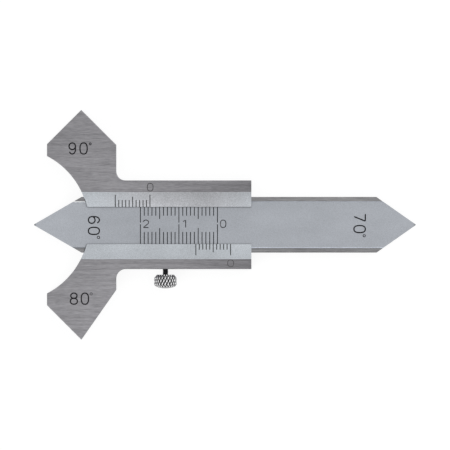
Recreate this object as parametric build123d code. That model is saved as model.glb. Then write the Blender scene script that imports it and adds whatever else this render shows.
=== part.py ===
from build123d import *
from math import asin, atan2, cos, pi, radians, sin, sqrt, tan
import os

# Vernier gauge for weld seams, in millimetres.
# X runs along the slide, away from the weld. Y runs across it, towards the 90 degree jaw.
# Z runs from the back face up to the scales.
# The origin is on the back face, below the crossing of the slide's centre line and the lock screw's axis.

# Body plate
plate_thickness = 5.0
body_length = 53.0  # nose flats to the end of the rails
screw_from_nose = 30.7  # nose flats to the lock screw's axis
body_half_width = 11.5  # centre line to the outer side of a rail
rail_fillet = 2.5  # between a jaw's back and its rail
body_edge_break = 0.12

# Jaws
jaw_span = 59.6  # across the corners of both jaws, the whole width of the gauge
flank_angle = 45.0  # the flanks that lie on the two plates of a fillet weld
jaw_apex_from_nose = 8.9
jaw_back_from_nose = 17.9
least_back_flat = 0.5  # straight stretch that a jaw's back keeps outside its fillet
upper_jaw_angle = 90.0
lower_jaw_angle = 80.0
notch_radius = 20.0
notch_centre_from_nose = 9.15  # it lies on the weld's side of the nose flats

# Slide
slide_length = 99.4  # between its two points, before they are rounded
slide_width = 14.46
slide_thickness = 2.5
short_point_angle = 60.0  # the point between the jaws
long_point_angle = 70.0
tip_radius = 0.2
tip_projection = 3.4  # how far the 60 degree point stands past the nose flats at rest
guide_strip_width = 1.1  # ground strip along each edge of the slide
scale_sink = 0.2  # depth of the scale face below the strips
sink_slope = 0.3  # width of the slope from a strip down to the scale face
slide_edge_break = 0.1

# Channel that holds the slide, and the lips over it
web_thickness = 1.3  # steel left behind the slide
slide_play = 0.05  # gap in front of the slide and behind it
guide_play = 0.03  # gap beside the slide at each guide wall
spring_room = 0.42  # depth of the spring's pocket in the lower guide wall
window_half_width = 4.77  # centre of the window to the edge of a lip
bevel_half_width = 8.7  # centre of the window to the outer line of a bevel
lip_edge_thickness = 0.25

# Leaf spring
spring_thickness = 0.2
spring_length = 36.0
spring_height = 2.2
spring_end_play = 0.5  # gap between each end of the spring and its pocket
seat_play = 0.01  # gap where a piece rests against another

# Lock screw and its pressure pad
thread_diameter = 1.6
shank_undersize = 0.05  # the smooth shank stands for a thread of the diameter above
hole_play = 0.07  # radial gap between the shank and its hole
head_gap = 1.45  # between the rail and the head, screwed home
head_clearance = 0.1  # between the head and the surface that the gauge lies on
head_radius = 3.0
head_length = 3.56
head_inner_radius = 2.25  # of the flat face towards the rail
head_rim_radius = 2.5  # where the dome begins
inner_chamfer_length = 0.85
outer_chamfer_length = 0.42
knurl_length = 2.94  # both chamfers and the band between them
knurl_depth = 0.25
knurl_teeth = 22
knurl_rows = 4
dome_inset = 0.08  # ledge round the foot of the dome
pad_radius = 0.55
pad_length = 1.1
pad_chamfer = 0.1
nose_radius = 0.28  # screw's nose, which turns in the pad
nose_length = 0.42
nose_play = 0.03

# Graduations
tip_to_zero = 47.6  # the slide's 60 degree tip to the zero line of its scale
scale_divisions = 20
scale_step = 1.0
vernier_divisions = 10
vernier_step = 0.9
line_width = 0.22
line_depth = 0.06
scale_outer_end = 5.5  # centre line to the outer ends of the slide's lines
upper_inner_ends = {"short": 2.35, "middle": 1.5, "long": 0.55}
lower_inner_ends = {"short": 1.85, "middle": 0.85, "long": -0.12}
upper_vernier_lengths = {"short": 1.9, "middle": 2.8, "long": 3.3}
lower_vernier_lengths = {"short": 1.5, "middle": 2.2, "long": 3.0}

# Levels and places that follow from the sizes above
flank_meeting_distance = jaw_span / 2 / tan(radians(flank_angle))  # from the jaws' corners
fillet_apex_distance = flank_meeting_distance - jaw_apex_from_nose  # from the nose flats
nose_x = -screw_from_nose
notch_centre_x = nose_x - notch_centre_from_nose
body_end_x = nose_x + body_length
slide_bottom = web_thickness + slide_play
slide_top = slide_bottom + slide_thickness
scale_level = slide_top - scale_sink
lip_underside = slide_top + slide_play
lip_edge_top = lip_underside + lip_edge_thickness
slide_half = slide_width / 2
guide_wall = slide_half + guide_play
pocket_wall = -guide_wall - spring_room
window_centre = -spring_room / 2
bevel_run = bevel_half_width - window_half_width
bevel_slope = atan2(plate_thickness - lip_edge_top, bevel_run)
slide_tip_x = nose_x - tip_projection
scale_zero_x = slide_tip_x + tip_to_zero
lower_vernier_zero_x = nose_x + tip_to_zero
upper_vernier_zero_x = lower_vernier_zero_x - fillet_apex_distance
screw_z = head_radius + head_clearance
spring_crest_y = -guide_wall
spring_back_y = spring_crest_y - spring_thickness
spring_end_y = pocket_wall + seat_play
pad_front_y = spring_back_y - guide_play
pad_back_y = pad_front_y - pad_length
head_inner_y = -body_half_width - head_gap
shank_radius = thread_diameter / 2 - shank_undersize
beyond = 1.0  # how far a cutting shape runs past what it cuts
same_point = 0.001  # two corners closer than this are one


def box_between(low, high):
    """A block between two opposite corners."""
    size = [b - a for a, b in zip(low, high)]
    middle = [(a + b) / 2 for a, b in zip(low, high)]
    return Pos(*middle) * Box(*size)


def along_slide(points):
    """A bar of the section given in Y and Z, longer than the body and the slide."""
    section = Plane.YZ * make_face(Polyline(*points, close=True))
    return extrude(section, slide_length, both=True)


def back_corner(jaw_angle):
    """Centre line to the corner between a jaw's slanting side and its back."""
    rise = tan(radians(180 - flank_angle - jaw_angle))
    return jaw_span / 2 - (jaw_back_from_nose - jaw_apex_from_nose) * rise


def fillet_within_back():
    """The radius of the fillets beside the rails, as far as the shorter back has room for it."""
    shorter_back = min(back_corner(upper_jaw_angle), back_corner(lower_jaw_angle)) - body_half_width
    return min(rail_fillet, shorter_back - least_back_flat)


def jaw_points(side, jaw_angle):
    """Corners of one jaw from its notch to its back, on the side +1 or -1 of the centre line."""
    flank_rise = tan(radians(flank_angle))
    nose_inner = sqrt(notch_radius**2 - notch_centre_from_nose**2)
    nose_outer = fillet_apex_distance * flank_rise
    apex = jaw_span / 2
    apex_x = nose_x + jaw_apex_from_nose
    back_x = nose_x + jaw_back_from_nose
    return [
        (nose_x, side * nose_inner),
        (nose_x, side * nose_outer),
        (apex_x, side * apex),
        (back_x, side * back_corner(jaw_angle)),
        (back_x, side * body_half_width),
    ]


def plate_outline():
    """Both jaws, the notch between them and the two rails, seen from the front."""
    upper = jaw_points(1, upper_jaw_angle)
    lower = jaw_points(-1, lower_jaw_angle)
    ends = [(body_end_x, body_half_width), (body_end_x, -body_half_width)]
    sides = Polyline(*upper, *ends, *reversed(lower))
    notch_bottom = (notch_centre_x + notch_radius, 0)
    notch = ThreePointArc(lower[0], notch_bottom, upper[0])
    face = make_face([sides, notch])
    inner_corners = [v for v in face.vertices() if near(v, upper[-1]) or near(v, lower[-1])]
    return fillet(inner_corners, fillet_within_back())


def near(vertex, point):
    """Whether a corner of a flat outline lies at a point."""
    return (vertex.center() - Vector(*point, 0)).length < same_point


def broken_plate(outline, bottom, thickness, edge_break):
    """A plate of the outline given, with the edges of its front and back chamfered."""
    plate = Pos(0, 0, bottom) * extrude(outline, thickness)
    faces = plate.faces().sort_by(Axis.Z)
    edges = faces[0].outer_wire().edges() + faces[-1].outer_wire().edges()
    return chamfer(edges, edge_break)


def slide_channel():
    """The room behind the lips that the slide runs in."""
    corners = [
        (-guide_wall, web_thickness),
        (guide_wall, web_thickness),
        (guide_wall, lip_underside),
        (-guide_wall, lip_underside),
    ]
    return along_slide(corners)


def lip_window():
    """The opening between the two lips, which widens along their bevels up to the front face."""
    above = plate_thickness + beyond
    half = [
        (window_half_width, slide_bottom),
        (window_half_width, lip_edge_top),
        (bevel_half_width, plate_thickness),
        (bevel_half_width, above),
    ]
    right = [(window_centre + y, z) for y, z in half]
    left = [(window_centre - y, z) for y, z in reversed(half)]
    return along_slide(right + left)


def spring_pocket():
    """The hollow in the lower guide wall that keeps the leaf spring in its place."""
    half_length = spring_length / 2 + spring_end_play
    low = (-half_length, pocket_wall, web_thickness)
    high = (half_length, 0, lip_underside)
    return box_between(low, high)


def screw_hole():
    """The hole for the lock screw, through the lower rail into the pocket."""
    radius = shank_radius + hole_play
    length = body_half_width + beyond
    drill = Cylinder(radius, length, align=(Align.CENTER, Align.CENTER, Align.MIN))
    return on_screw_axis(drill, 0)


def bevel_plane(side):
    """The plane of one lip's bevel: local X along the slide, local Y from the lip's edge outwards."""
    edge_y = window_centre + side * window_half_width
    normal = (0, -side * sin(bevel_slope), cos(bevel_slope))
    return Plane(origin=(0, edge_y, lip_edge_top), x_dir=(side, 0, 0), z_dir=normal)


def line_kind(count, long_every, middle_every):
    """Which of the three lengths a graduation line has."""
    if count % long_every == 0:
        return "long"
    if count % middle_every == 0:
        return "middle"
    return "short"


def vernier_lines(side, zero_x, lengths):
    """The cuts of one vernier: ten divisions that together span nine divisions of the scale."""
    plane = bevel_plane(side)
    cuts = []
    for count in range(vernier_divisions + 1):
        kind = line_kind(count, vernier_divisions, vernier_divisions // 2)
        x = side * (zero_x - count * vernier_step)
        length = lengths[kind] + beyond
        middle = lengths[kind] - length / 2
        cuts.append(plane * Pos(x, middle, 0) * Box(line_width, length, 2 * line_depth))
    return cuts


def scale_lines(side, inner_ends):
    """The cuts of the slide's scale along one lip. Its numbers rise towards the 60 degree point."""
    cuts = []
    for count in range(scale_divisions + 1):
        inner = inner_ends[line_kind(count, scale_divisions // 2, scale_divisions // 4)]
        x = scale_zero_x - count * scale_step
        length = scale_outer_end - inner
        y = side * (inner + length / 2)
        cuts.append(Pos(x, y, scale_level) * Box(line_width, length, 2 * line_depth))
    return cuts


def make_body():
    """One plate: jaws, channel, bevelled lips with their verniers, spring pocket and screw hole."""
    plate = broken_plate(plate_outline(), 0, plate_thickness, body_edge_break)
    plate = plate - slide_channel() - lip_window() - spring_pocket() - screw_hole()
    upper = vernier_lines(1, upper_vernier_zero_x, upper_vernier_lengths)
    lower = vernier_lines(-1, lower_vernier_zero_x, lower_vernier_lengths)
    return plate - (upper + lower)


def slide_outline():
    """The blade seen from the front: two straight edges and a point at each end."""
    short_point = slide_half / tan(radians(short_point_angle / 2))
    long_point = slide_half / tan(radians(long_point_angle / 2))
    tip_cut = tip_radius / sin(radians(short_point_angle / 2)) - tip_radius
    left = slide_tip_x - tip_cut
    right = left + slide_length
    outline = Polyline(
        (left, 0),
        (left + short_point, slide_half),
        (right - long_point, slide_half),
        (right, 0),
        (right - long_point, -slide_half),
        (left + short_point, -slide_half),
        close=True,
    )
    face = make_face(outline)
    tips = [v for v in face.vertices() if near(v, (left, 0)) or near(v, (right, 0))]
    return fillet(tips, tip_radius)


def scale_bed():
    """The sunk face between the guide strips, with sloping sides."""
    top = slide_half - guide_strip_width
    floor = top - sink_slope
    above = slide_top + beyond
    half = [(floor, scale_level), (top, slide_top), (top, above)]
    left = [(-y, z) for y, z in reversed(half)]
    return along_slide(half + left)


def make_slide():
    """The blade with its guide strips, sunk scale face and graduations."""
    blade = broken_plate(slide_outline(), slide_bottom, slide_thickness, slide_edge_break)
    blade = blade - scale_bed()
    return blade - (scale_lines(1, upper_inner_ends) + scale_lines(-1, lower_inner_ends))


def make_leaf_spring():
    """A strip bowed towards the slide, whose ends rest on the pocket's wall."""
    end_x = spring_length / 2
    front_end_y = spring_end_y + spring_thickness
    back = ThreePointArc((-end_x, spring_end_y), (0, spring_back_y), (end_x, spring_end_y))
    front = ThreePointArc((-end_x, front_end_y), (0, spring_crest_y), (end_x, front_end_y))
    ends = [Line((x, spring_end_y), (x, front_end_y)) for x in (-end_x, end_x)]
    strip = extrude(make_face([back, front, *ends]), spring_height)
    lower_edge_z = (slide_bottom + slide_top - spring_height) / 2
    return Pos(0, 0, lower_edge_z) * strip


def on_screw_axis(shape, y):
    """Puts a piece turned about Z on the lock screw's axis, its own +Z pointing out of the rail."""
    return Pos(0, y, screw_z) * Rot(90, 0, 0) * shape


def turned(points):
    """A solid turned about Z from a closed profile of radius and height."""
    return revolve(Plane.XZ * make_face(Polyline(*points, close=True)), Axis.Z)


def make_pressure_pad():
    """A slug with a flat front face and a blind hole behind, where the screw's nose turns."""
    hole_radius = nose_radius + nose_play
    hole_bottom = pad_length - nose_length - nose_play
    profile = [
        (0, 0),
        (pad_radius - pad_chamfer, 0),
        (pad_radius, pad_chamfer),
        (pad_radius, pad_length),
        (hole_radius, pad_length),
        (hole_radius, hole_bottom),
        (0, hole_bottom),
    ]
    return on_screw_axis(turned(profile), pad_front_y)


def knurl_point(column, row):
    """A point of the knurl's lattice, where crests and hollows alternate both ways."""
    crest = (column + row) % 2 == 0
    radius = head_radius if crest else head_radius - knurl_depth
    angle = pi * column / knurl_teeth
    return Vector(radius * cos(angle), radius * sin(angle), knurl_length * row / knurl_rows)


def knurl_cell(column, row):
    """Two flat facets between four lattice points, parted along the groove between two hollows."""
    near_left = knurl_point(column, row)
    near_right = knurl_point(column + 1, row)
    far_left = knurl_point(column, row + 1)
    far_right = knurl_point(column + 1, row + 1)
    if (column + row) % 2 == 0:
        return [(near_left, near_right, far_left), (near_right, far_right, far_left)]
    return [(near_left, near_right, far_right), (near_left, far_right, far_left)]


def knurled_bar():
    """A bar whose rim has two sets of helical grooves that cross and leave small pyramids."""
    columns = range(2 * knurl_teeth)
    rows = range(-1, knurl_rows + 1)
    facets = []
    for row in rows:
        for column in columns:
            facets += knurl_cell(column, row)
    for end in (rows.start, rows.stop):
        facets.append([knurl_point(column, end) for column in columns])
    faces = [Face(Wire.make_polygon(points, close=True)) for points in facets]
    return Solid(Shell(faces))


def head_cones():
    """The two cones that chamfer the head, from its end faces out to where they meet."""
    inner_rise = (head_radius - head_inner_radius) / inner_chamfer_length
    outer_rise = (head_radius - head_rim_radius) / outer_chamfer_length
    rim_lead = head_rim_radius - head_inner_radius + outer_rise * knurl_length
    meeting = rim_lead / (inner_rise + outer_rise)
    widest = head_inner_radius + inner_rise * meeting
    profile = [
        (0, 0),
        (head_inner_radius, 0),
        (widest, meeting),
        (head_rim_radius, knurl_length),
        (0, knurl_length),
    ]
    return turned(profile)


def head_dome():
    """The smooth outer end of the head, part of a ball."""
    foot = head_rim_radius - dome_inset
    rise = head_length - knurl_length
    ball = (foot**2 + rise**2) / (2 * rise)
    half_way = asin(foot / ball) / 2
    middle = (ball * sin(half_way), head_length - ball + ball * cos(half_way))
    arc = ThreePointArc((foot, knurl_length), middle, (0, head_length))
    sides = Polyline((0, head_length), (0, knurl_length), (foot, knurl_length))
    return revolve(Plane.XZ * make_face([arc, sides]), Axis.Z)


def make_lock_screw():
    """Knurled head, shank and nose, turned as one piece."""
    shank_end = head_inner_y - (pad_back_y - seat_play)
    nose_end = shank_end - nose_length
    profile = [
        (0, 0),
        (shank_radius, 0),
        (shank_radius, shank_end),
        (nose_radius, shank_end),
        (nose_radius, nose_end),
        (0, nose_end),
    ]
    knurled_rim = knurled_bar() & head_cones()
    screw = knurled_rim + turned(profile) + head_dome()
    return on_screw_axis(screw, head_inner_y)


pieces = {
    "body": make_body,
    "slide": make_slide,
    "leaf_spring": make_leaf_spring,
    "pressure_pad": make_pressure_pad,
    "lock_screw": make_lock_screw,
}

os.makedirs("parts", exist_ok=True)
for name, make in pieces.items():
    export_step(make(), f"parts/{name}.step")
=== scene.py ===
from math import atan2, cos, pi, radians, sin

import bpy
import numpy as np
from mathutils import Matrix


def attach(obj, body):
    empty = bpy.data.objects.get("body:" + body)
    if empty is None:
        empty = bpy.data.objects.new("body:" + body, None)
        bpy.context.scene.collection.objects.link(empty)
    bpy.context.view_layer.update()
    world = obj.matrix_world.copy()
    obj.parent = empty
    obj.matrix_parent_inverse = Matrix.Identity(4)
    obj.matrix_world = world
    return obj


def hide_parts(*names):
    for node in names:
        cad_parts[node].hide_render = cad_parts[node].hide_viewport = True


# Looks of a vernier weld gauge: ground and satin steel, filled graduations and marks,
# and a knurled lock screw. Sizes are in millimetres until a mesh is made.

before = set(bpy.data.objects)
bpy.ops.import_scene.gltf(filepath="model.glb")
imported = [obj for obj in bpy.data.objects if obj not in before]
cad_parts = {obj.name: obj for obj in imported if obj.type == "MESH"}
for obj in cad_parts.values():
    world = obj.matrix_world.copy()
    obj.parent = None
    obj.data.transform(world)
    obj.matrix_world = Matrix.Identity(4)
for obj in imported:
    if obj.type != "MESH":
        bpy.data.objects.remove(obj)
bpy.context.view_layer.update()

MM = 0.001

# Faces and lines of the gauge, as its solids have them. Levels are heights in Z, and a half is a
# distance in Y to either side of a middle line.
front_level = 5.0
lip_underside = 3.9
lip_top = 4.15
lip_half = 4.77
bevel_half = 8.7
window_centre = -0.21
notch_centre = -39.85
notch_radius = 20.0
slide_half = 7.23
slide_tips = (-34.1, 64.95)
slope_top = 6.13
slope_foot = 5.83
scale_level = 3.65
line_width = 0.22
line_depth = 0.06
scale_zero = 13.5
scale_outer_end = 5.5
upper_zero = -4.0
lower_zero = 16.9
vernier_step = 0.9
screw_level = 3.1
head_start = 12.95
shank_start = 8.6


# Meshes

def quads_of(rows, columns, wrap_rows=False):
    """Corner numbers of the quads between neighbouring points of a grid.

    Point (row, column) has the number row * columns + column. The last column joins the first
    one, and so do the rows where they wrap.
    """
    row_ends = rows if wrap_rows else rows - 1
    row, column = np.meshgrid(np.arange(row_ends), np.arange(columns), indexing="ij")
    next_row = (row + 1) % rows
    next_column = (column + 1) % columns
    corners = [
        row * columns + column,
        row * columns + next_column,
        next_row * columns + next_column,
        next_row * columns + column,
    ]
    return np.stack(corners, axis=-1).reshape(-1, 4)


def flat_ends(rows, columns):
    """The two faces that close a grid at its first and last row."""
    first = np.arange(columns)
    return [first[::-1].tolist(), (first + (rows - 1) * columns).tolist()]


def fan(pole, near, far):
    """Triangles from one point to the sides of a ring, each given by its two corners."""
    return np.stack([np.full(len(near), pole), near, far], -1).tolist()


def joined(parts):
    """One list of points and one of faces from several shells, each given as points and faces."""
    points, faces, count = [], [], 0
    for own_points, own_faces in parts:
        points.append(own_points)
        faces += [[corner + count for corner in face] for face in own_faces]
        count += len(own_points)
    return np.concatenate(points), faces


def piece(name, shell, body, slot, finish, smooth=True):
    """A mesh object from points in millimetres and faces, riding on a body of the gauge."""
    points, faces = shell
    mesh = bpy.data.meshes.new(name)
    mesh.from_pydata((points * MM).tolist(), [], faces)
    mesh.polygons.foreach_set("use_smooth", np.full(len(mesh.polygons), smooth))
    mesh.materials.append(finish)
    made = bpy.data.objects.new(name, mesh)
    bpy.context.scene.collection.objects.link(made)
    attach(made, body)
    return made


# Marks: digits and degree rings made of filled strokes

arc_points = 60
oval_points = 96
line_points = 30
stroke_points = 72  # along a stroke
stroke_corners = 10  # round a stroke
stroke_rise = 0.009  # half of a stroke's thickness
stroke_lift = 0.003  # how much higher each further stroke of a digit lies
blunt_end = 0.15  # the share of its width that a stroke keeps at an open end


def arc(centre, radii, start, end):
    """Points of an ellipse's arc: centre + radii * (cos a, sin a), a from start to end degrees."""
    angle = np.radians(np.linspace(start, end, arc_points))
    return np.array(centre) + np.array(radii) * np.stack([np.cos(angle), np.sin(angle)], -1)


def oval(centre, radii, power):
    """A closed superellipse: centre + radii * waves.

    The waves are cos a and sin a. Each keeps its sign and takes the power 2 / power.
    """
    angle = np.linspace(0, 2 * pi, oval_points, endpoint=False)
    waves = np.stack([np.cos(angle), np.sin(angle)], -1)
    return np.array(centre) + np.array(radii) * np.sign(waves) * np.abs(waves) ** (2 / power)


def straight(start, end):
    """Points along a line: start * (1 - share) + end * share."""
    share = np.linspace(0, 1, line_points)[:, None]
    return np.array(start) * (1 - share) + np.array(end) * share


def turned_round(strokes):
    """The same strokes turned half a turn in their unit box."""
    return [(1 - path, closed) for path, closed in strokes]


# Each sign's strokes in a unit box, as a path and whether it is closed
six = [
    (oval((0.5, 0.3), (0.5, 0.3), 2.1), True),
    (np.concatenate([
        straight((0, 0.3), (0, 0.55)), arc((0.5, 0.6), (0.5, 0.4), 176, 28)]), False),
]
digits = {
    "0": [(oval((0.5, 0.5), (0.5, 0.5), 2.5), True)],
    "1": [(straight((1, 1), (1, 0)), False), (straight((0, 0.78), (1, 1)), False)],
    "2": [
        (np.concatenate([
            arc((0.5, 0.7), (0.5, 0.3), 168, -28), straight((0.93, 0.53), (0, 0))]), False),
        (straight((0, 0), (1, 0)), False),
    ],
    "6": six,
    "7": [(straight((0, 1), (1, 1)), False), (straight((1, 1), (0.36, 0)), False)],
    "8": [
        (oval((0.5, 0.765), (0.44, 0.235), 2.1), True),
        (oval((0.5, 0.27), (0.5, 0.27), 2.1), True),
    ],
    "9": turned_round(six),
    "ring": [(oval((0.5, 0.5), (0.5, 0.5), 2.0), True)],
}


def spaced(path, closed):
    """A path's points again at even distances, and how far along the path each lies.

    Those of an open path lie closer together towards its ends: their share of the length is the
    mean of an even share s and of (1 - cos(pi * s)) / 2.
    """
    if closed:
        path = np.concatenate([path, path[:1]])
    steps = np.linalg.norm(np.diff(path, axis=0), axis=1)
    run = np.concatenate([[0], np.cumsum(steps)])
    share = np.linspace(0, 1, stroke_points, endpoint=not closed)
    if not closed:
        share = (share + (1 - np.cos(pi * share)) / 2) / 2
    wanted = share * run[-1]
    return np.stack([np.interp(wanted, run, path[:, side]) for side in (0, 1)], -1), wanted


def filled_stroke(path, closed, width, level):
    """A groove's filling: a flat ellipse carried along a path, with rounded ends.

    At each point of the path the ring is point + across * cos a + up * sin a, where across is
    square to the path. Towards an open end, across shrinks as the half width of a round end.
    """
    points, run = spaced(path, closed)
    if closed:
        ahead, behind = np.roll(points, -1, 0), np.roll(points, 1, 0)
    else:
        ahead = np.vstack([points[1:], points[-1:]])
        behind = np.vstack([points[:1], points[:-1]])
    along = ahead - behind
    along /= np.linalg.norm(along, axis=1)[:, None]
    across = np.stack([-along[:, 1], along[:, 0]], -1)
    half = np.full(stroke_points, width / 2)
    if not closed:
        to_end = np.clip(np.minimum(run, run[-1] - run) / (width / 2), 0, 1)
        half = half * np.clip(np.sqrt(1 - (1 - to_end) ** 2), blunt_end, 1)
    angle = np.linspace(0, 2 * pi, stroke_corners, endpoint=False)
    flat = points[:, None] + across[:, None] * (half[:, None] * np.cos(angle))[..., None]
    height = level + stroke_rise * np.sin(angle) + np.zeros((stroke_points, 1))
    faces = quads_of(stroke_points, stroke_corners, closed).tolist()
    if not closed:
        faces += flat_ends(stroke_points, stroke_corners)
    return np.concatenate([flat, height[..., None]], -1).reshape(-1, 3), faces


def placed_digit(sign, low, high, width, reads_down):
    """A digit's strokes inside the box that its outer edges fill.

    Text that reads down the picture has its own right towards -Y and its own top towards +X.
    """
    low, high = np.array(low) + width / 2, np.array(high) - width / 2
    strokes = []
    for path, closed in digits[sign]:
        if reads_down:
            path = np.stack([path[:, 1], 1 - path[:, 0]], -1)
        strokes.append((low + path * (high - low), closed))
    return strokes


def mark(name, signs, level, width, body, slot, finish, reads_down=False, ring_width=0.19):
    """One mark of several signs, each given with the low and high corner of its box."""
    shells = []
    for sign, low, high in signs:
        own_width = ring_width if sign == "ring" else width
        strokes = placed_digit(sign, low, high, own_width, reads_down)
        for order, (path, closed) in enumerate(strokes):
            own_level = level + stroke_lift * order
            shells.append(filled_stroke(path, closed, own_width, own_level))
    return piece(name, joined(shells), body, slot, finish)


# Fillings of the graduation lines

scale_lines = 21
vernier_lines = 11
# Of short, middle and long lines: the inner ends on the slide, and the lengths on the bevels
upper_inner_ends = (2.35, 1.5, 0.55)
lower_inner_ends = (1.85, 0.85, -0.12)
upper_vernier_lengths = (1.9, 2.8, 3.3)
lower_vernier_lengths = (1.5, 2.2, 3.0)
fill_drop = 0.012  # from the steel's face down to the paint
fill_play = 0.004  # how far the paint reaches into the groove's floor and sides
fill_short = 0.004  # how far it ends before each end of a vernier's groove
across_points = 7
arch_fall = 0.35


def line_fillings(places, spans, width):
    """Bars that lie in straight grooves, all at once.

    A bar's section is a low arch, -1 to 1 across: height 1 - arch_fall * across ** 4 above its
    foot. It is carried from one end of each groove to the other. places gives x, spans the two
    ends. The result is (lines, two ends, section points, [across, along, height share]).
    """
    across = np.linspace(1, -1, across_points)
    arch = np.stack([across, 1 - arch_fall * across**4], -1)
    section = np.concatenate([arch, [[-1, 0], [1, 0]]])
    lines, ends, points = len(places), 2, len(section)
    grid = np.zeros((lines, ends, points, 3))
    grid[..., 0] = np.array(places)[:, None, None] + section[:, 0] * width / 2
    grid[..., 1] = np.array(spans)[:, :, None]
    grid[..., 2] = section[:, 1]
    rings = quads_of(ends, points)[:, ::-1]
    first = np.arange(points)
    faces = []
    for line in range(lines):
        start = line * ends * points
        faces += (rings + start).tolist()
        faces += [(first + start).tolist(), (first[::-1] + points + start).tolist()]
    return grid, faces


def of_each_kind(count, kinds):
    """A value for each line of a scale: kinds gives those of short, middle and long lines.

    Every tenth line is long, and every fifth one between them is middle.
    """
    number = np.arange(count)
    short, middle, long = kinds
    return np.where(number % 10 == 0, long, np.where(number % 5 == 0, middle, short))


def level_bars(places, spans):
    """Bars in grooves that are cut down from the scale face, with z = foot + share * height."""
    grid, faces = line_fillings(places, spans, line_width + 2 * fill_play)
    foot = scale_level - line_depth - fill_play
    grid[..., 2] = foot + grid[..., 2] * (scale_level - fill_drop - foot)
    return grid.reshape(-1, 3), faces


def main_scale_fillings():
    """Two rows of lines on the slide, from their inner ends out under the lips."""
    places = scale_zero - np.arange(scale_lines)
    shells = []
    for side, inner_ends in ((1, upper_inner_ends), (-1, lower_inner_ends)):
        inner = of_each_kind(scale_lines, inner_ends)
        outer = np.full(scale_lines, scale_outer_end)
        spans = np.stack([inner, outer], -1) * side
        shells.append(level_bars(places, np.sort(spans, axis=1)))
    return joined(shells)


def vernier_fillings(side, zero, lengths):
    """A vernier's lines on a bevel, from the lip's edge outwards.

    A point at a distance along the bevel and a height square to it lies at
    y = edge + side * (distance * cos slope - height * sin slope), z = top + distance * sin slope
    + height * cos slope.
    """
    slope = atan2(front_level - lip_top, bevel_half - lip_half)
    reach = of_each_kind(vernier_lines, lengths)
    places = zero - vernier_step * np.arange(vernier_lines)
    spans = np.stack([np.full(vernier_lines, fill_short), reach - fill_short], -1)
    grid, faces = line_fillings(places, spans, line_width + 2 * fill_play)
    distance = grid[..., 1].copy()
    foot = -line_depth - fill_play
    height = foot + grid[..., 2] * (-fill_drop - foot)
    edge = window_centre + side * lip_half
    grid[..., 1] = edge + side * (distance * cos(slope) - height * sin(slope))
    grid[..., 2] = lip_top + distance * sin(slope) + height * cos(slope)
    if side < 0:
        faces = [face[::-1] for face in faces]
    return grid.reshape(-1, 3), faces


# Lock screw

knurl_teeth = 22
knurl_rows = 4
knurl_length = 3.2
knurl_depth = 0.27
chamfer_knurl_depth = 0.12
cell_parts = 7  # grid steps from a crest to a groove
head_radius = 3.0
head_length = 3.56
inner_face_radius = 2.25
inner_face_rings = (0.9, 1.6, 2.05)
inner_chamfer_length = 0.85
outer_face_radius = 2.42
outer_chamfer_length = 0.55
dome_foot = 2.27
dome_rings = 13
# The dome is painted darker by this share, as shade.
dome_shade_share = 0.56  # the dome's hollow, as if it lay this far down in a groove
head_crease = 35  # an edge between faces that part by more degrees stays sharp
thread_pitch = 0.35
thread_root = 0.6
thread_crest = 0.76
thread_columns = 36
rows_per_pitch = 10
shank_in_head = 0.1


def on_screw(radius, angle, height):
    """Points about the screw's axis: (radius * cos a, -height, screw_level + radius * sin a).

    The height runs outwards from the rail, towards -Y.
    """
    x, z = radius * np.cos(angle), screw_level + radius * np.sin(angle)
    return np.stack(np.broadcast_arrays(x, -height, z), -1)


def off_crest(turns):
    """How far a number of turns lies from a whole one: |fraction(turns + 1/2) - 1/2|."""
    return np.abs((turns + 0.5) % 1 - 0.5)


def knurled_head():
    """Rim, inner face and dome of the head as one closed surface.

    Two waves run along the two crossing helices, each 0 on a crest and 1 in a groove:
    2 * |fraction(turns +- climb + 1/2) - 1/2|. The square root of the sum of their fourth powers,
    1 at most, is the share of the knurl's depth that is taken off the head's radius, so each
    diamond is a low dome between sharp grooves. The two cones of the chamfers cap the result,
    with a shallower knurl of their own. The inner face is flat, and the dome is part of a ball.
    Each end closes in one point.

    The result is the points, the faces and each point's hollow, which is that share on the rim.
    """
    rim_steps = knurl_rows * cell_parts
    columns = knurl_teeth * 2 * cell_parts
    angle = 2 * pi * np.arange(columns) / columns
    climb = np.arange(rim_steps + 1)[:, None] / (2 * cell_parts)
    turns = np.arange(columns)[None, :] / (2 * cell_parts)
    waves = [2 * off_crest(turns + way * climb) for way in (1, -1)]
    sunk = np.minimum(np.sqrt(waves[0] ** 4 + waves[1] ** 4), 1)

    height = knurl_length * np.arange(rim_steps + 1)[:, None] / rim_steps
    inner_slope = (head_radius - inner_face_radius) / inner_chamfer_length
    outer_slope = (head_radius - outer_face_radius) / outer_chamfer_length
    inner_cone = inner_face_radius + height * inner_slope
    outer_cone = outer_face_radius + (knurl_length - height) * outer_slope
    cones = np.minimum(inner_cone, outer_cone) - chamfer_knurl_depth * sunk
    rim = np.minimum(head_radius - knurl_depth * sunk, cones)

    rise = head_length - knurl_length
    ball = (dome_foot**2 + rise**2) / (2 * rise)
    lean = np.linspace(np.arcsin(dome_foot / ball), 0, dome_rings + 1)[:-1, None]
    inner = np.array(inner_face_rings)[:, None] + np.zeros(columns)
    dome = ball * np.sin(lean) + np.zeros(columns)
    radius = np.concatenate([inner, rim, dome])
    heights = np.concatenate([
        np.zeros(inner.shape),
        height + np.zeros(columns),
        head_length - ball + ball * np.cos(lean) + np.zeros(columns),
    ])
    points = on_screw(radius, angle, head_start + heights).reshape(-1, 3)
    poles = on_screw(np.zeros(2), np.zeros(2), head_start + np.array([0, head_length]))

    rows = len(radius)
    first = np.arange(columns)
    last = first + (rows - 1) * columns
    faces = split_cells(rows, columns, len(inner), rim_steps)
    faces += fan(len(points), np.roll(first, -1), first)
    faces += fan(len(points) + 1, last, np.roll(last, -1))
    hollow = np.concatenate([np.zeros(inner.shape), sunk, np.full(dome.shape, dome_shade_share)])
    return np.concatenate([points, poles]), faces, np.append(hollow.ravel(), [0, dome_shade_share])


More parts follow.
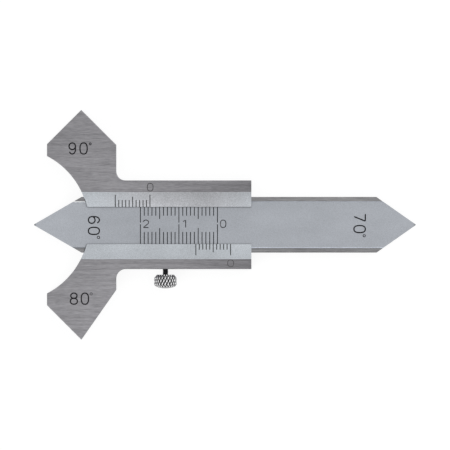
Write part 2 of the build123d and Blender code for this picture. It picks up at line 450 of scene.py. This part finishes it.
def split_cells(rows, columns, rim_start, rim_steps):
    """Triangles of the head's grid, parted along the grooves and the edges of the diamonds.

    Each cell is cut on the diagonal that runs along the helix whose wave is the larger one in the
    middle of the cell.
    """
    quads = quads_of(rows, columns)
    row, column = np.divmod(quads[:, 0], columns)
    step = row - rim_start
    forward = off_crest((column + step + 1) / (2 * cell_parts))
    backward = off_crest((column - step) / (2 * cell_parts))
    rising = (forward > backward) & (step >= 0) & (step < rim_steps)
    a, b, c, d = quads.T
    up = np.stack([np.stack([a, b, d], -1), np.stack([b, c, d], -1)], 1)
    down = np.stack([np.stack([a, b, c], -1), np.stack([a, c, d], -1)], 1)
    return np.where(rising[:, None, None], up, down).reshape(-1, 3).tolist()


def threaded_shank():
    """The shank from the pad to the head: a V thread, whose radius rises and falls once each turn.

    radius = root + (crest - root) * |2 * fraction(height / pitch - turn) - 1|, with the angle's
    share of a turn as turn. Both ends close in a flat face inside the pad and the head.
    """
    length = head_start + shank_in_head - shank_start
    rows = int(round(length / thread_pitch * rows_per_pitch)) + 1
    height = np.linspace(0, length, rows)[:, None]
    turn = np.arange(thread_columns)[None, :] / thread_columns
    wave = np.abs(2 * ((height / thread_pitch - turn) % 1) - 1)
    radius = thread_root + (thread_crest - thread_root) * wave
    points = on_screw(radius, 2 * pi * turn, shank_start + height).reshape(-1, 3)
    faces = quads_of(rows, thread_columns).tolist()
    return points, faces + flat_ends(rows, thread_columns)


# Nodes of the finishes

def add(tree, kind, inputs=None, **settings):
    """A shader node. inputs gives each socket, by name or number, a value or a socket to link."""
    node = tree.nodes.new(kind)
    for key, value in settings.items():
        setattr(node, key, value)
    for key, value in (inputs or {}).items():
        if isinstance(value, bpy.types.NodeSocket):
            tree.links.new(value, node.inputs[key])
        else:
            node.inputs[key].default_value = value
    return node


def reckon(tree, operation, first, second=0.0):
    """The result of one operation on numbers."""
    return add(tree, "ShaderNodeMath", {0: first, 1: second}, operation=operation).outputs[0]


def product(tree, factors):
    """All the factors multiplied."""
    total = factors[0]
    for factor in factors[1:]:
        total = reckon(tree, "MULTIPLY", total, factor)
    return total


def ramp(tree, value, low, high, start=0.0, end=1.0):
    """The value mapped from low..high to start..end, and held there beyond them."""
    sockets = {"Value": value, "From Min": low, "From Max": high, "To Min": start, "To Max": end}
    return add(tree, "ShaderNodeMapRange", sockets, clamp=True).outputs["Result"]


def band(tree, value, low, high, soft, factor):
    """The factor where the value lies between low and high, and 1 elsewhere, with soft borders."""
    entered = ramp(tree, value, low - soft, low + soft, 0.0, 1.0)
    left = ramp(tree, value, high - soft, high + soft, 1.0, 0.0)
    return ramp(tree, product(tree, [entered, left]), 0.0, 1.0, 1.0, factor)


def blend(tree, share, first, second):
    """A colour between two others."""
    sockets = {0: share, 6: first, 7: second}
    return add(tree, "ShaderNodeMix", sockets, data_type="RGBA").outputs[2]


def either(tree, share, first, second):
    """A number between two others."""
    sockets = {0: share, 2: first, 3: second}
    return add(tree, "ShaderNodeMix", sockets, data_type="FLOAT").outputs[0]


def scaled(tree, colour, factor):
    """A colour or a vector times a number."""
    sockets = {0: colour, "Scale": factor}
    return add(tree, "ShaderNodeVectorMath", sockets, operation="SCALE").outputs[0]


def multiplied(tree, first, second):
    """Two colours or vectors multiplied part by part."""
    sockets = {0: first, 1: second}
    return add(tree, "ShaderNodeVectorMath", sockets, operation="MULTIPLY").outputs[0]


def noise(tree, place, scales, detail, roughness):
    """Noise from 0 to 1, on coordinates in millimetres times a scale for each axis."""
    sockets = {
        "Vector": multiplied(tree, place, scales),
        "Scale": 1.0,
        "Detail": detail,
        "Roughness": roughness,
    }
    return add(tree, "ShaderNodeTexNoise", sockets).outputs[0]


def spread(tree, worked, start, end):
    """Noise mapped to start..end. Nearly all of its values lie between 0.3 and 0.7."""
    return ramp(tree, worked, 0.3, 0.7, start, end)


def new_finish(name, metallic):
    """An empty node material with a principled shader, and its place in millimetres."""
    made = bpy.data.materials.new(name)
    made.use_nodes = True
    tree = made.node_tree
    tree.nodes.clear()
    shader = add(tree, "ShaderNodeBsdfPrincipled", {"Metallic": metallic})
    add(tree, "ShaderNodeOutputMaterial", {"Surface": shader.outputs[0]})
    coordinates = add(tree, "ShaderNodeTexCoord")
    return made, tree, shader, scaled(tree, coordinates.outputs["Object"], 1 / MM)


bump_depth = 0.003


def set_bump(tree, shader, height):
    """Fine bumps from noise."""
    sockets = {"Height": height, "Strength": 1.0, "Distance": bump_depth * MM}
    bump = add(tree, "ShaderNodeBump", sockets)
    tree.links.new(bump.outputs[0], shader.inputs["Normal"])


# Steel of the body and the slide

wander = 0.4  # how far the brushing drifts aside
line_share = 0.65  # scratches against bands in the ground faces
cloud_share = 0.25  # clouds against grain in the satin faces
ground_rough_play = 0.05
satin_rough_play = 0.03


def streaks(tree, place):
    """Brushing along X that wanders a little: broad faint bands, and short fine scratches."""
    drift = noise(tree, place, (0.06, 0.11, 0.11), 2.0, 0.5)
    aside = add(tree, "ShaderNodeCombineXYZ", {1: product(tree, [drift, wander])}).outputs[0]
    sockets = {0: place, 1: aside}
    moved = add(tree, "ShaderNodeVectorMath", sockets, operation="ADD").outputs[0]
    bands = noise(tree, moved, (0.05, 1.2, 1.2), 2.0, 0.55)
    lines = noise(tree, moved, (0.42, 4.6, 4.6), 4.0, 0.7)
    return bands, lines


def steel_finish(name, satin_share, shade, ground, satin, rougher=None):
    """Steel that is ground in some places and satin in others.

    satin_share(tree, axes) gives 1 on satin faces, and shade(tree, place, axes) the number or
    colour that each place's colour is multiplied by, from the coordinates in millimetres. ground
    and satin each hold a colour, how far noise varies it and a roughness. rougher(tree, axes)
    gives roughness that some satin places have beyond that.
    """
    made, tree, shader, place = new_finish(name, 1.0)
    axes = add(tree, "ShaderNodeSeparateXYZ", {0: place}).outputs
    bands, lines = streaks(tree, place)
    grain = noise(tree, place, (5.0, 5.0, 5.0), 3.0, 0.7)
    cloud = noise(tree, place, (0.07, 0.16, 0.16), 2.0, 0.5)
    brushed = either(tree, line_share, bands, lines)
    clouded = either(tree, cloud_share, grain, cloud)
    share = satin_share(tree, axes)
    parts = []
    for worked, look in ((brushed, ground), (clouded, satin)):
        factor = spread(tree, worked, 1 - look["varies"], 1 + look["varies"])
        parts.append(scaled(tree, look["colour"], factor))
    colour = multiplied(tree, blend(tree, share, *parts), shade(tree, place, axes))
    tree.links.new(colour, shader.inputs["Base Color"])
    ground_rough = spread(
        tree, lines, ground["rough"] - ground_rough_play, ground["rough"] + ground_rough_play)
    satin_rough = spread(
        tree, grain, satin["rough"] - satin_rough_play, satin["rough"] + satin_rough_play)
    if rougher:
        satin_rough = reckon(tree, "ADD", satin_rough, rougher(tree, axes))
    tree.links.new(either(tree, share, ground_rough, satin_rough), shader.inputs["Roughness"])
    set_bump(tree, shader, either(tree, share, lines, grain))
    return made


# The shades below give places in millimetres and factors on the colour, where 1 leaves it alone.

def from_window(tree, axes):
    """The distance in Y from the middle of the window."""
    return reckon(tree, "ABSOLUTE", reckon(tree, "SUBTRACT", axes[1], window_centre))


def body_front(tree, axes):
    """1 on the body above its lips' undersides, 0 on the channel, the lower sides and the back."""
    return ramp(tree, axes[2], lip_underside - 0.04, lip_underside - 0.02)


def body_satin(tree, axes):
    """1 on the two bevels beside the window, 0 on the flats, the outer sides and inside."""
    within = ramp(tree, from_window(tree, axes), bevel_half + 0.03, bevel_half - 0.05)
    return product(tree, [within, body_front(tree, axes)])


def flats_shade(tree, axes):
    """The jaws and rails: darker away from the jaws, and each with its own lights and darks.

    Between the jaws and the slide the flats are a little darker too. The upper jaw is painted
    darker and the lower one lighter, as shade and light falling from below.
    """
    x, y = axes[0], axes[1]
    upper = reckon(tree, "GREATER_THAN", y, 0.0)
    fade = ramp(tree, x, -14.0, 22.0, 1.0, 0.71)
    # The ramps in y are painted light and shade: the lower jaw lighter, the upper jaw darker.
    lower_side = product(tree, [
        ramp(tree, y, -22.0, -14.0, 1.02, 1.0),
        ramp(tree, x, -26.0, -15.0, 0.93, 1.0),
        ramp(tree, x, 4.0, 22.0, 1.04, 0.96),
    ])
    upper_side = product(tree, [
        ramp(tree, y, 13.0, 22.0, 1.0, 0.91),
        ramp(tree, x, -29.0, -21.0, 0.94, 1.0),
        band(tree, x, -13.0, -4.0, 2.0, 0.94),
        band(tree, x, 1.0, 13.0, 2.0, 1.05),
        ramp(tree, x, 13.0, 20.0, 1.0, 0.96),
    ])
    near_root = band(tree, reckon(tree, "ABSOLUTE", y), 0.0, 14.0, 2.0, 0.92)
    roots = either(tree, ramp(tree, x, -20.0, -14.0), near_root, 1.0)
    return product(tree, [fade, roots, either(tree, upper, lower_side, upper_side)])


def bevels_shade(tree, place, axes, off_centre):
    """The two bevels: lighter towards their lips.

    The upper one is duller, grainier and less blue in its middle.
    """
    x, y = axes[0], axes[1]
    upper = reckon(tree, "GREATER_THAN", y, 0.0)
    dull = product(tree, [upper, ramp(tree, x, -18.0, -4.0), ramp(tree, x, 26.0, 12.0)])
    from_lip = ramp(tree, off_centre, lip_half, bevel_half)
    bright_across = ramp(tree, from_lip, 0.0, 1.0, 1.16, 0.96)
    dull_across = ramp(tree, from_lip, 0.0, 1.0, 1.08, 0.8)
    upper_side = product(tree, [
        ramp(tree, x, -14.0, -2.0, 1.03, 0.94),
        ramp(tree, x, 6.0, 16.0, 1.0, 1.05),
        band(tree, x, -11.0, -2.0, 2.0, 1.1),
        band(tree, x, 6.5, 14.0, 2.0, 0.92),
        ramp(tree, x, 18.0, 21.0, 1.0, 1.07),
        either(tree, dull, bright_across, dull_across),
    ])
    lower_side = product(tree, [
        ramp(tree, x, -10.0, 16.0, 1.0, 1.03),
        band(tree, x, -14.0, -4.0, 2.0, 1.04),
        band(tree, x, 4.0, 14.0, 2.0, 0.94),
        ramp(tree, from_lip, 0.0, 1.0, 1.045, 0.955),
    ])
    specks = ramp(tree, noise(tree, place, (2.7, 2.7, 2.7), 3.0, 0.7), 0.32, 0.68, 0.87, 1.13)
    grain = either(tree, dull, 1.0, specks)
    tint = blend(tree, dull, (1.0, 1.0, 1.0, 1), (1.04, 1.0, 0.99, 1))
    factor = product(tree, [grain, either(tree, upper, lower_side, upper_side)])
    return scaled(tree, tint, factor)


def body_shade(tree, place, axes):
    """Where the body is lighter or darker.

    The lips' inner edges are painted dark as shadow of the gap under them, and so are their ends
    in the notch above the slide. Each bevel ends in a painted highlight line beside a painted
    dark line on the flat.
    """
    off_centre = from_window(tree, axes)
    # Painted shadow: dark bands along the lips' inner edges and their ends in the notch over the
    # slide.
    lower_shadow_width, upper_shadow_width, notch_shadow_width = 0.03, 0.08, 0.1
    lip_shadow_reach = ramp(tree, axes[1], -1.0, 1.0, lip_half + lower_shadow_width, lip_half + upper_shadow_width)
    lip = either(tree, reckon(tree, "LESS_THAN", off_centre, lip_shadow_reach), 1.0, 0.1)
    sockets = {0: reckon(tree, "SUBTRACT", axes[0], notch_centre), 1: axes[1]}
    from_notch = add(tree, "ShaderNodeCombineXYZ", sockets).outputs[0]
    reach = add(tree, "ShaderNodeVectorMath", {0: from_notch}, operation="LENGTH").outputs["Value"]
    notch_edge = notch_radius + notch_shadow_width
    beside_notch = ramp(tree, reach, notch_edge + 0.02, notch_edge - 0.02)
    over_slide = ramp(tree, off_centre, slide_half - 0.03, slide_half - 0.33)
    lip_end_shadow = either(tree, product(tree, [over_slide, beside_notch]), 1.0, 0.12)
    # Painted highlight along each bevel's outer edge, and a painted dark line on the flat beside
    # it.
    edge_glint = band(tree, off_centre, bevel_half - 0.22, bevel_half - 0.02, 0.03, 1.07)
    groove = band(tree, off_centre, bevel_half + 0.03, bevel_half + 0.25, 0.03, 0.88)
    front = body_front(tree, axes)
    edges = either(tree, front, 1.0, product(tree, [lip, lip_end_shadow, edge_glint, groove]))
    outside = ramp(tree, off_centre, bevel_half, bevel_half + 0.1)
    bevels, flats = bevels_shade(tree, place, axes, off_centre), flats_shade(tree, axes)
    return scaled(tree, blend(tree, outside, bevels, flats), edges)


def slide_front(tree, axes):
    """1 on the slide down to just below the feet of its graduation lines, 0 further back."""
    return ramp(tree, axes[2], scale_level - 2 * line_depth, scale_level - line_depth - 0.02)


def on_slopes(tree, axes, upper, lower):
    """The factors on the slide's two slopes from its strips to its sunk face, and 1 elsewhere."""
    upper_slope = band(tree, axes[1], slope_foot + 0.01, slope_top - 0.01, 0.02, upper)
    lower_slope = band(tree, axes[1], 0.09 - slope_top, 0.03 - slope_foot, 0.02, lower)
    both = product(tree, [upper_slope, lower_slope])
    return either(tree, slide_front(tree, axes), 1.0, both)


def slopes_rougher(tree, axes):
    """Roughness that the slide's slopes have beyond that of its sunk face."""
    return reckon(tree, "SUBTRACT", on_slopes(tree, axes, 1.3, 1.3), 1.0)


def slide_satin(tree, axes):
    """1 on the sunk scale face and its slopes, 0 on the strips, the edges and the back."""
    within = ramp(tree, reckon(tree, "ABSOLUTE", axes[1]), slope_top, slope_top - 0.07)
    return product(tree, [within, slide_front(tree, axes)])


def slide_shade(tree, place, axes):
    """Where the slide is lighter: towards both of its points, and on the slopes beside its strips.

    The slopes carry a painted highlight, and at the 60 degree point the upper slope is the lighter
    one. The strip towards the lock screw is a little darker, with a painted shadow along its inner
    edge, and both tips are painted dark as shade of their blunt ends.
    """
    x, y = axes[0], axes[1]
    left_tip, right_tip = slide_tips
    # Painted highlight on the slopes, brighter on the upper one at the 60 degree point.
    upper_slope = ramp(tree, x, -20.0, -17.0, 2.0, 1.3)
    lower_slope = ramp(tree, x, -20.0, -17.0, 0.8, 1.53)
    return product(tree, [
        ramp(tree, x, -26.0, -4.0, 1.07, 0.97),
        ramp(tree, x, 6.0, 14.0, 1.0, 1.03),
        ramp(tree, x, 46.0, 58.0, 1.0, 1.07),
        ramp(tree, y, 0.01 - slope_top, 0.05 - slope_top, 0.95, 1.0),
        # Painted shadow along the inner edge of the strip towards the lock screw.
        band(tree, y, -0.19 - slope_top, 0.09 - slope_top, 0.04, 0.82),
        on_slopes(tree, axes, upper_slope, lower_slope),
        # Both tips painted dark, as shade of their blunt ends.
        ramp(tree, x, left_tip + 0.2, left_tip + 0.6, 0.45, 1.0),
        ramp(tree, x, right_tip - 0.65, right_tip - 0.15, 1.0, 0.6),
    ])


# Other finishes

# Near black, used as painted shade in the knurl's grooves and on the thread.
shade_black = (0.02, 0.02, 0.022, 1)


def paint(name, dark, worn):
    """Dull paint in the marks and lines, a little worn in places."""
    made, tree, shader, place = new_finish(name, 0.0)
    shader.inputs["Specular IOR Level"].default_value = 0.2
    wear = noise(tree, place, (1.7, 1.7, 1.7), 2.0, 0.6)
    colour = blend(tree, ramp(tree, wear, 0.45, 0.75), dark, worn)
    tree.links.new(colour, shader.inputs["Base Color"])
    grain = noise(tree, place, (14.0, 14.0, 14.0), 2.0, 0.6)
    tree.links.new(spread(tree, grain, 0.5, 0.75), shader.inputs["Roughness"])
    set_bump(tree, shader, grain)
    return made


def chrome(name):
    """Bright chrome with painted shade: nearly black deep in the knurl's grooves, darker on the
    dome.
    """
    made, tree, shader, place = new_finish(name, 1.0)
    hollow = add(tree, "ShaderNodeAttribute", attribute_name="hollow").outputs["Fac"]
    smear = noise(tree, place, (3.0, 3.0, 3.0), 2.0, 0.6)
    # filled is the share of painted shade: deep in the knurl's grooves, and on the dome.
    filled = ramp(tree, hollow, 0.3, 0.66)
    colour = blend(tree, filled, (0.93, 0.93, 0.94, 1), shade_black)
    tint = ramp(tree, smear, 0.35, 0.7, 0.9, 1.04)
    tree.links.new(scaled(tree, colour, tint), shader.inputs["Base Color"])
    bright = spread(tree, smear, 0.04, 0.1)
    tree.links.new(either(tree, filled, bright, 0.5), shader.inputs["Roughness"])
    return made


def dark_thread(name):
    """Dark steel, partly painted shade of the thread, with fine marks of turning round the axis.
    """
    made, tree, shader, place = new_finish(name, 1.0)
    turned = noise(tree, place, (1.5, 24.0, 1.5), 2.0, 0.6)
    # Painted shade on the thread: the colour runs from near black up to dark steel.
    colour = blend(tree, ramp(tree, turned, 0.35, 0.7), shade_black, (0.09, 0.09, 0.095, 1))
    tree.links.new(colour, shader.inputs["Base Color"])
    tree.links.new(spread(tree, turned, 0.3, 0.5), shader.inputs["Roughness"])
    return made


def plain_metal(name, dark, light, scales, rough):
    """A worked metal for the pieces inside: noise drawn out along the marks of its working."""
    made, tree, shader, place = new_finish(name, 1.0)
    marks = noise(tree, place, scales, 3.0, 0.6)
    tree.links.new(blend(tree, spread(tree, marks, 0.0, 1.0), dark, light),
                   shader.inputs["Base Color"])
    tree.links.new(spread(tree, marks, rough - 0.06, rough + 0.06), shader.inputs["Roughness"])
    set_bump(tree, shader, marks)
    return made


body_steel = steel_finish(
    "body_ground_and_satin", body_satin, body_shade,
    {"colour": (0.356, 0.35, 0.369), "varies": 0.44, "rough": 0.36},
    {"colour": (0.573, 0.606, 0.643), "varies": 0.3, "rough": 0.42},
)
slide_steel = steel_finish(
    "slide_ground_and_satin", slide_satin, slide_shade,
    {"colour": (0.295, 0.294, 0.302), "varies": 0.42, "rough": 0.36},
    {"colour": (0.476, 0.499, 0.539), "varies": 0.22, "rough": 0.42},
    slopes_rougher,
)
mark_paint = paint("mark_paint", (0.004, 0.004, 0.006, 1), (0.02, 0.02, 0.023, 1))
scale_paint = paint("scale_paint", (0.01, 0.01, 0.012, 1), (0.16, 0.16, 0.165, 1))
faint_paint = paint("faint_paint", (0.05, 0.05, 0.052, 1), (0.1, 0.1, 0.1, 1))
line_paint = paint("line_paint", (0.003, 0.003, 0.004, 1), (0.012, 0.012, 0.014, 1))
screw_chrome = chrome("screw_chrome")
screw_thread = dark_thread("screw_thread")
spring_strip = plain_metal(
    "spring_strip", (0.3, 0.3, 0.32, 1), (0.45, 0.45, 0.47, 1), (0.3, 9.0, 9.0), 0.34)
pad_brass = plain_metal(
    "pad_brass", (0.6, 0.44, 0.2, 1), (0.75, 0.58, 0.3, 1), (9.0, 1.0, 9.0), 0.3)


def give(node, finish):
    """One of the gauge's solids gets its finish in every material slot."""
    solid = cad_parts[node]
    if not solid.material_slots:
        solid.data.materials.append(finish)
    for own_slot in solid.material_slots:
        own_slot.material = finish


give("body", body_steel)
give("slide", slide_steel)
give("leaf_spring", spring_strip)
give("pressure_pad", pad_brass)


# Pieces

on_body = ("body", "body_steel")
on_slide = ("slide", "slide_steel")
angle_stroke = 0.34
number_stroke = 0.23
upper_zero_stroke = 0.18
lower_zero_stroke = 0.14

mark("angle_mark_90", [
    ("9", (-25.14, 18.19), (-23.14, 21.38)),
    ("0", (-22.3, 18.19), (-20.1, 21.38)),
    ("ring", (-19.84, 20.62), (-19.12, 21.34)),
], front_level, angle_stroke, *on_body, mark_paint, ring_width=0.22)
mark("angle_mark_80", [
    ("8", (-24.8, -20.77), (-22.64, -17.55)),
    ("0", (-21.97, -20.77), (-19.76, -17.55)),
    ("ring", (-19.62, -18.3), (-18.88, -17.56)),
], front_level, angle_stroke, *on_body, mark_paint, ring_width=0.15)
mark("angle_mark_60", [
    ("6", (-20.15, 0.2), (-16.98, 2.28)),
    ("0", (-20.15, -2.68), (-16.98, -0.5)),
    ("ring", (-17.8, -3.7), (-16.96, -2.86)),
], scale_level, angle_stroke, *on_slide, mark_paint, reads_down=True)
mark("angle_mark_70", [
    ("7", (48.76, 0.77), (52.05, 2.98)),
    ("0", (48.76, -2.21), (52.05, -0.04)),
    ("ring", (51.21, -3.24), (51.99, -2.46)),
], scale_level, angle_stroke, *on_slide, mark_paint, reads_down=True)
mark("scale_numbers", [
    ("2", (-5.88, -0.84), (-4.27, 1.34)),
    ("1", (4.44, -0.84), (5.36, 1.34)),
    ("0", (14.16, -0.84), (15.8, 1.34)),
], scale_level, number_stroke, *on_slide, scale_paint)
mark("upper_vernier_zero", [("0", (-4.76, 8.66), (-3.1, 10.84))],
     front_level, upper_zero_stroke, *on_body, faint_paint)
mark("lower_vernier_zero", [("0", (16.08, -10.91), (17.77, -9.05))],
     front_level, lower_zero_stroke, *on_body, faint_paint)

piece("main_scale_lines", main_scale_fillings(), *on_slide, line_paint, smooth=False)
upper_vernier = vernier_fillings(1, upper_zero, upper_vernier_lengths)
piece("upper_vernier_lines", upper_vernier, *on_body, line_paint, smooth=False)
lower_vernier = vernier_fillings(-1, lower_zero, lower_vernier_lengths)
piece("lower_vernier_lines", lower_vernier, *on_body, line_paint, smooth=False)

head_points, head_faces, head_hollow = knurled_head()
head = piece(
    "lock_screw_head", (head_points, head_faces), "screw", "screw_chrome", screw_chrome)
head.data.set_sharp_from_angle(angle=radians(head_crease))
hollow_values = head.data.attributes.new("hollow", "FLOAT", "POINT").data
hollow_values.foreach_set("value", head_hollow.astype(np.float32))
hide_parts("lock_screw")
piece("lock_screw_shank", threaded_shank(), "screw", "screw_chrome", screw_thread)


# Floor, light and camera

floor_drop = 0.02
floor_columns = 64
floor_rings = 12
floor_reach = (100.0, 6000.0)
floor_matt = (0.2, 0.2, 0.2, 1)
floor_bounce = (0.66, 0.66, 0.66, 1)
floor_glow = 0.88


def pale_floor():
    """A wide flat disc just below the gauge: rings of points round one middle point.

    A point lies at distance * (cos a, sin a), and each ring's distance is the last one's times
    the same number.
    """
    angle = 2 * pi * np.arange(floor_columns) / floor_columns
    distance = np.geomspace(*floor_reach, floor_rings)[:, None]
    flat = np.stack([distance * np.cos(angle), distance * np.sin(angle)], -1).reshape(-1, 2)
    flat = np.concatenate([flat, [[0, 0]]])
    points = np.concatenate([flat, np.full((len(flat), 1), -floor_drop)], -1)
    faces = quads_of(floor_rings, floor_columns)[:, ::-1].tolist()
    first = np.arange(floor_columns)
    faces += fan(len(points) - 1, first, np.roll(first, -1))
    mesh = bpy.data.meshes.new("floor")
    mesh.from_pydata((points * MM).tolist(), [], faces)
    made = bpy.data.objects.new("floor", mesh)
    bpy.context.scene.collection.objects.link(made)
    mesh.materials.append(floor_finish())


def floor_finish():
    """White paper, nearly evenly white to the eye and in bright metal, with a faint shadow on it.

    From behind it can be seen through.
    """
    made = bpy.data.materials.new("white_paper")
    made.use_nodes = True
    tree = made.node_tree
    tree.nodes.clear()
    ray = add(tree, "ShaderNodeLightPath").outputs
    seen = reckon(tree, "MAXIMUM", ray["Is Camera Ray"], ray["Is Glossy Ray"])
    seen = reckon(tree, "MAXIMUM", seen, ray["Is Transmission Ray"])
    colour = blend(tree, seen, floor_bounce, floor_matt)
    matt = add(tree, "ShaderNodeBsdfDiffuse", {"Color": colour})
    strength = product(tree, [seen, floor_glow])
    glow = add(tree, "ShaderNodeEmission", {"Color": (1, 1, 1, 1), "Strength": strength})
    both = add(tree, "ShaderNodeAddShader", {0: matt.outputs[0], 1: glow.outputs[0]})
    clear = add(tree, "ShaderNodeBsdfTransparent")
    behind = add(tree, "ShaderNodeNewGeometry").outputs["Backfacing"]
    sides = {0: behind, 1: both.outputs[0], 2: clear.outputs[0]}
    surface = add(tree, "ShaderNodeMixShader", sides).outputs[0]
    add(tree, "ShaderNodeOutputMaterial", {"Surface": surface})
    return made


def panel(name, place, size, brightness):
    """A soft rectangular lamp that faces the gauge, with its place and size in metres."""
    lamp = bpy.data.lights.new(name, "AREA")
    lamp.shape = "RECTANGLE"
    lamp.size, lamp.size_y = size
    lamp.energy = brightness * pi * size[0] * size[1]
    made = bpy.data.objects.new(name, lamp)
    bpy.context.scene.collection.objects.link(made)
    made.location = place
    made.rotation_euler = (-made.location).to_track_quat("-Z", "Y").to_euler()


def room():
    """A grey room round the gauge, which is lighter towards the horizon."""
    world = bpy.data.worlds.new("room")
    bpy.context.scene.world = world
    world.use_nodes = True
    tree = world.node_tree
    tree.nodes.clear()
    direction = add(tree, "ShaderNodeTexCoord").outputs["Generated"]
    height = add(tree, "ShaderNodeSeparateXYZ", {0: direction}).outputs[2]
    strength = ramp(tree, height, 0.2, 0.75, 0.52, 0.16)
    glow = add(tree, "ShaderNodeBackground", {"Color": (1, 1, 1, 1), "Strength": strength})
    add(tree, "ShaderNodeOutputWorld", {"Surface": glow.outputs[0]})


def overhead_camera():
    """A camera straight above the gauge, so far away that both faces of the plate look alike.

    It shows the view's width at the level of the scale face.
    """
    middle_x, middle_y = 15.46, -0.06
    view_width, distance, sensor = 116.8, 1200.0, 36.0
    camera = bpy.data.cameras.new("overhead")
    camera.sensor_width = sensor
    camera.lens = sensor * (distance - scale_level) / view_width
    camera.clip_start, camera.clip_end = 0.05, 20.0
    made = bpy.data.objects.new("overhead", camera)
    bpy.context.scene.collection.objects.link(made)
    made.location = (middle_x * MM, middle_y * MM, distance * MM)
    bpy.context.scene.camera = made


side_reach, side_height, side_size = 0.937, 0.704, (1.5, 1.5)

pale_floor()
panel("top_panel", (0.0, 0.0, 1.6), (2.4, 2.4), 0.64)
panel("right_back_panel", (side_reach, side_reach, side_height), side_size, 1.3)
panel("left_front_panel", (-side_reach, -side_reach, side_height), side_size, 1.18)
room()
overhead_camera()
bpy.context.scene.view_settings.view_transform = "Standard"
